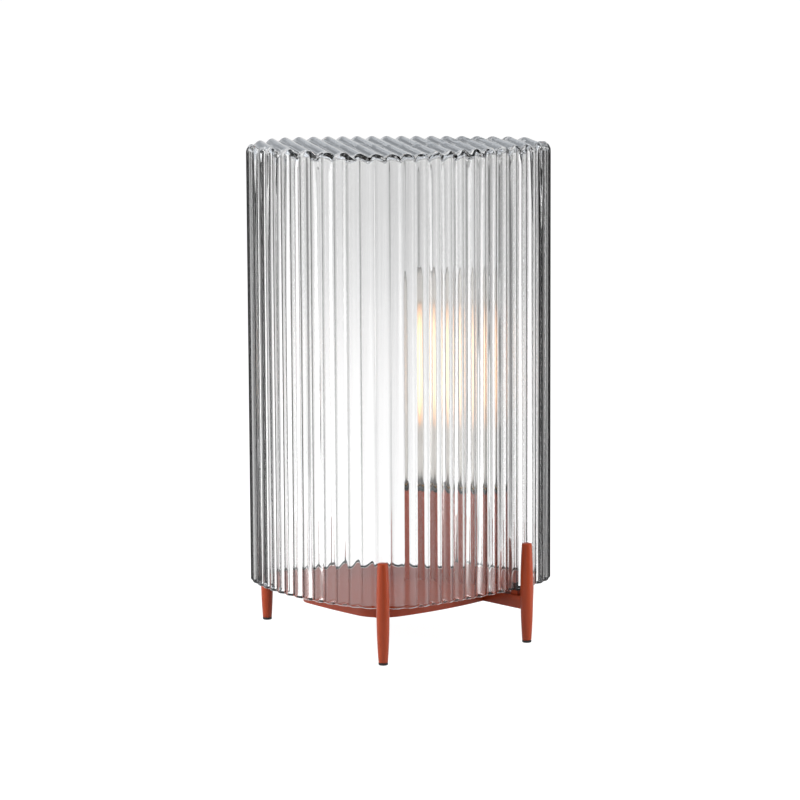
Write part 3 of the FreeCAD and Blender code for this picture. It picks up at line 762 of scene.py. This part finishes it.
for side in LEG_SIDES:
    node = "leg_" + side
    low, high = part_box(node)
    axis = ((low.x + high.x) / 2, (low.y + high.y) / 2)
    leg = turned("turned_" + node, leg_outline(low.z / MM, high.z / MM), axis, rust_paint)
    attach(leg, "base")
    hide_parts(node)
print("legs turned:", len(LEG_SIDES))


# %% [markdown]
# The lamp stands on a pale floor in front of white.  Clear ribs show only what they bend into view,
# so the room matters as much as the glass.  A plain white room would leave the ribs pale and empty.
# Here the eye sees plain white, but glass and mirrors see a room whose brightness changes with the
# bearing round the lamp, as between white walls and dark screens in a studio.  Real screens could
# stand in the scene, but a curve of bearings and levels is easier to tune.

# %% The room that glass and mirrors see
BEARINGS = (                 # degrees from straight behind the lamp round to its front, and brightness
    (0.0, 1.1), (2.0, 1.05), (3.5, 1.15), (5.0, 0.74), (7.0, 1.15), (8.5, 0.62), (10.0, 0.68),
    (12.0, 1.15), (14.0, 0.7), (15.5, 1.2), (18.0, 1.1), (21.0, 0.72), (25.0, 0.68), (28.0, 1.0),
    (31.0, 0.5), (35.0, 0.2), (41.0, 0.2), (44.0, 1.5), (54.0, 1.5), (57.0, 0.0), (68.0, 0.0),
    (71.0, 1.5), (82.0, 1.5), (85.0, 0.0), (97.0, 0.0), (99.0, 8.0), (103.0, 8.0), (105.0, 1.3),
    (120.0, 1.3), (126.0, 0.02), (150.0, 0.2), (180.0, 0.2))
LEFT_FILL = 1.05             # the share of the dark that a white wall fills in the left half
RIGHT_LOSS = 0.08            # the right half of the room is that much darker


def bearing_curve(tree, bearing):
    """The brightness for a bearing in radians, from the list of bearings."""
    curve = tree.nodes.new("ShaderNodeFloatCurve")
    knots = curve.mapping.curves[0].points
    while len(knots) < len(BEARINGS):
        knots.new(0.5, 0.5)
    brightest = max(value for _, value in BEARINGS)
    for knot, (angle, value) in zip(knots, BEARINGS):
        knot.location = (angle / 180.0, value / brightest)
        knot.handle_type = "VECTOR"
    curve.mapping.update()
    tree.links.new(math_node(tree, "DIVIDE", bearing, math.pi), curve.inputs["Value"])
    return math_node(tree, "MULTIPLY", curve.outputs["Value"], brightest)


def make_bearing_group():
    """How bright the room is round the lamp, seen from a place or in a direction."""
    group, start, end = new_group("room_by_bearing", (("Place", "NodeSocketVector", (0, 1, 0)),),
                                  (("Level", "NodeSocketFloat"),))
    parts = split(group, start.outputs["Place"])
    beside = math_node(group, "ABSOLUTE", parts["X"])
    curve = bearing_curve(group, math_node(group, "ARCTAN2", beside, parts["Y"]))
    right = math_node(group, "GREATER_THAN", parts["X"], 0.0)
    left = math_node(group, "SUBTRACT", 1.0, right)
    darker = math_node(group, "SUBTRACT", 1.0, math_node(group, "MULTIPLY", right, RIGHT_LOSS))
    room = math_node(group, "MULTIPLY", curve, darker)
    missing = math_node(group, "MAXIMUM", math_node(group, "SUBTRACT", 1.0, room), 0.0)
    fill = math_node(group, "MULTIPLY", missing, math_node(group, "MULTIPLY", left, LEFT_FILL))
    group.links.new(math_node(group, "ADD", room, fill), end.inputs["Level"])
    return group


bearing_group = make_bearing_group()
print("bearings in the room:", len(BEARINGS))


# %% [markdown]
# The floor and the world both use that room.  Two helpers do it: one tells the rays that glass and
# mirrors send from the light that a matt surface gathers, and one reads the group between two
# levels.

# %% Helpers for the room
def glass_mask(tree):
    """1 for rays out of glass or from a mirror, 0 for the eye and for light on matt surfaces."""
    path = tree.nodes.new("ShaderNodeLightPath").outputs
    either = math_node(tree, "MAXIMUM", path["Is Glossy Ray"], path["Is Transmission Ray"])
    direct = math_node(tree, "LESS_THAN", path["Diffuse Depth"], 0.5)
    return math_node(tree, "MULTIPLY", either, direct)


def room_level(tree, place, lowest, highest):
    """The room's brightness at a place or in a direction, between two levels."""
    bearing = group_node(tree, bearing_group)
    tree.links.new(place, bearing.inputs["Place"])
    reached = math_node(tree, "MULTIPLY", bearing.outputs["Level"], highest - lowest)
    return math_node(tree, "ADD", reached, lowest)


# %% [markdown]
# The floor is matt, so that it takes the lamp's shadow, and glows a little, so that it is white in
# the picture without more light on the lamp.  Close to the lamp it is plain white for the glass
# too, because the foot of the shade shows it.  Further out it follows the room's bearings and dims
# towards the horizon.

# %% The floor
FLOOR_HALF = 12.0
FLOOR_COLOUR = (0.8, 0.8, 0.8, 1.0)
FLOOR_ROUGHNESS = 0.9
FLOOR_WHITE = 1.33           # the floor's own glow for the eye
FLOOR_GLOW_SHARE = 0.72      # the rest of the floor is matt
FLOOR_NEAR, FLOOR_FAR = 0.12, 0.35              # metres between which the bearings come in
FLOOR_DIMS_FROM, FLOOR_DIMS_TO = 1.3, 4.0       # metres
FLOOR_FAR_SHARE = 0.72
GLASS_SEES_NEAR = 1.1
GLASS_SEES_FLOOR = (0.03, 1.28)                 # darkest and brightest bearing


def floor_glow(tree):
    """The floor's glow: plain for the eye, by place for glass and mirrors."""
    place = own_place(tree)
    distance = tree.nodes.new("ShaderNodeVectorMath")
    distance.operation = "LENGTH"
    tree.links.new(place, distance.inputs[0])
    metres = distance.outputs["Value"]
    dimming = map_range(tree, metres, (FLOOR_DIMS_FROM, FLOOR_DIMS_TO), (1.0, FLOOR_FAR_SHARE))
    room = math_node(tree, "MULTIPLY", room_level(tree, place, *GLASS_SEES_FLOOR), dimming)
    fade = map_range(tree, metres, (FLOOR_NEAR, FLOOR_FAR))
    in_glass = mix(tree, "FLOAT", fade, GLASS_SEES_NEAR, room)
    return mix(tree, "FLOAT", glass_mask(tree), FLOOR_WHITE, in_glass)


def make_floor():
    """A wide floor that is white in the picture and still takes the lamp's shadow."""
    half = FLOOR_HALF
    mesh = bpy.data.meshes.new("floor")
    corners = [(-half, -half, 0), (half, -half, 0), (half, half, 0), (-half, half, 0)]
    mesh.from_pydata(corners, [], [(0, 1, 2, 3)])
    floor = bpy.data.objects.new("floor", mesh)
    bpy.context.scene.collection.objects.link(floor)
    material, tree, shader = new_material("pale_floor")
    shader.inputs["Base Color"].default_value = FLOOR_COLOUR
    shader.inputs["Roughness"].default_value = FLOOR_ROUGHNESS
    white = tree.nodes.new("ShaderNodeEmission")
    tree.links.new(floor_glow(tree), white.inputs["Color"])
    eye = tree.nodes.new("ShaderNodeLightPath").outputs["Is Camera Ray"]
    seen = math_node(tree, "MAXIMUM", eye, glass_mask(tree))
    share = math_node(tree, "MULTIPLY", seen, FLOOR_GLOW_SHARE)
    surface = mix_shaders(tree, share, shader.outputs["BSDF"], white.outputs["Emission"])
    tree.links.new(surface, tree.nodes["Material Output"].inputs["Surface"])
    dress(floor, material)
    floor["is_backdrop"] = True


make_floor()
print("floor in metres:", 2 * FLOOR_HALF)


# %% [markdown]
# The world is what lies behind the floor's edge and above the lamp.  It is white for the eye,
# follows the bearings for glass and mirrors, gets darker and a little bluer with height, and gives
# matt surfaces a plain level of light.

# %% The world
ROOM_LIGHT = 0.27            # the plain level of light for matt surfaces
GLASS_SEES_ROOM = (0.03, 1.13)                  # darkest and brightest bearing
HORIZON, HIGH_ROOM = 0.03, 0.13                 # heights of a direction between which the room darkens
HIGH_SHARE = 0.6
HIGH_TINT = (0.89, 0.94, 1.0, 1.0)
WHITE = (1.0, 1.0, 1.0, 1.0)


def make_world():
    """White for the eye, a room of bearings for glass and mirrors, and plain light for the rest."""
    world = bpy.data.worlds.new("white_room")
    world.use_nodes = True
    tree = world.node_tree
    direction = tree.nodes.new("ShaderNodeTexCoord").outputs["Generated"]
    height = map_range(tree, split(tree, direction)["Z"], (HORIZON, HIGH_ROOM))
    dimming = math_node(tree, "MULTIPLY", height, HIGH_SHARE - FLOOR_FAR_SHARE)
    dimming = math_node(tree, "ADD", dimming, FLOOR_FAR_SHARE)
    room = math_node(tree, "MULTIPLY", room_level(tree, direction, *GLASS_SEES_ROOM), dimming)
    glass = math_node(tree, "MULTIPLY", glass_mask(tree), math_node(tree, "SUBTRACT", room, ROOM_LIGHT))
    camera_ray = tree.nodes.new("ShaderNodeLightPath").outputs["Is Camera Ray"]
    eye = math_node(tree, "MULTIPLY", camera_ray, 1.0 - ROOM_LIGHT)
    brightness = math_node(tree, "ADD", math_node(tree, "ADD", eye, glass), ROOM_LIGHT)
    tint = mix(tree, "RGBA", math_node(tree, "MULTIPLY", glass_mask(tree), height), WHITE, HIGH_TINT)
    colour = tree.nodes.new("ShaderNodeVectorMath")
    colour.operation = "SCALE"
    tree.links.new(tint, colour.inputs[0])
    tree.links.new(brightness, colour.inputs["Scale"])
    tree.links.new(colour.outputs["Vector"], tree.nodes["Background"].inputs["Color"])
    bpy.context.scene.world = world


make_world()
print("world:", bpy.context.scene.world.name)


# %% [markdown]
# Three soft boxes light the base at a plain level.  Two tall strips beside the lamp put a highlight
# along the edges of the legs.  No lamp shows to the eye or through the glass, and mirrors don't
# show the strips, because they would stand in the ribs as white columns.

# %% The lamps
lamp_middle = (cad_low + cad_high) / 2
STRIP_AIM = (0.0, 0.0, 0.33)
STRIP_SIZE = (0.08, 0.64)
LAMPS = (                    # name, place, aim, width and height, watts, whether mirrors show it
    ("left_soft_box", (-1.2, -1.0, 0.9), lamp_middle, (0.7, 1.2), 6.8, True),
    ("right_soft_box", (1.2, -0.8, 0.8), lamp_middle, (0.6, 1.2), 4.2, True),
    ("top_soft_box", (0.0, 0.2, 1.6), lamp_middle, (1.2, 1.2), 10.0, True),
    ("left_strip", (-0.5, -0.1, 0.33), STRIP_AIM, STRIP_SIZE, 3.0, False),
    ("right_strip", (0.5, -0.1, 0.33), STRIP_AIM, STRIP_SIZE, 2.4, False),
)


def area_lamp(name, place, aim, size, power, in_mirrors):
    """A flat soft lamp that looks at a point."""
    data = bpy.data.lights.new(name, "AREA")
    data.shape = "RECTANGLE"
    data.size, data.size_y = size
    data.energy = power
    lamp = bpy.data.objects.new(name, data)
    lamp.location = place
    lamp.rotation_mode = "QUATERNION"
    lamp.rotation_quaternion = (Vector(aim) - Vector(place)).to_track_quat("-Z", "Y")
    lamp.visible_camera = False
    lamp.visible_transmission = False
    lamp.visible_glossy = in_mirrors
    bpy.context.scene.collection.objects.link(lamp)


for row in LAMPS:
    area_lamp(*row)
print("lamps:", len(LAMPS))


# %% [markdown]
# The camera stands where the photograph's did: far away, a little above the lamp, with a long lens.
# Its place was fitted to points of the lamp's outline, so it is a list of measured numbers.

# %% The camera
CAMERA_PLACE = (0.0002, -2.3886, 0.5273)
CAMERA_PITCH = math.radians(8.67)
CAMERA_ROLL = math.radians(-0.30)
FOCAL_PIXELS = 3549.6
FRAME_PIXELS = 800
SENSOR_WIDTH = 36.0          # mm
SHIFT_UP = 0.006             # of the frame
CLIP_END = 50.0


def make_camera():
    """A long lens at the photograph's viewing angle."""
    data = bpy.data.cameras.new("camera")
    data.sensor_width = SENSOR_WIDTH
    data.lens = FOCAL_PIXELS / FRAME_PIXELS * SENSOR_WIDTH
    data.shift_y = SHIFT_UP
    data.clip_end = CLIP_END
    camera = bpy.data.objects.new("camera", data)
    tilt = Euler((math.radians(90.0) - CAMERA_PITCH, 0.0, 0.0)).to_matrix()
    turn = tilt @ Matrix.Rotation(CAMERA_ROLL, 3, "Z")
    camera.matrix_world = Matrix.Translation(CAMERA_PLACE) @ turn.to_4x4()
    bpy.context.scene.collection.objects.link(camera)
    bpy.context.scene.camera = camera


make_camera()
bpy.context.scene.view_settings.view_transform = "Standard"
print("lens in mm:", round(bpy.context.scene.camera.data.lens, 1))


# %% [markdown]
# The dressed lamp must not be bigger than the imported one.  The last line prints the box of
# everything now shown, in millimetres, beside the imported lamp's box printed at the start.

# %% Measure the dressed lamp
low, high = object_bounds()
print("visual box in mm:", [round(v / MM, 1) for v in high - low])
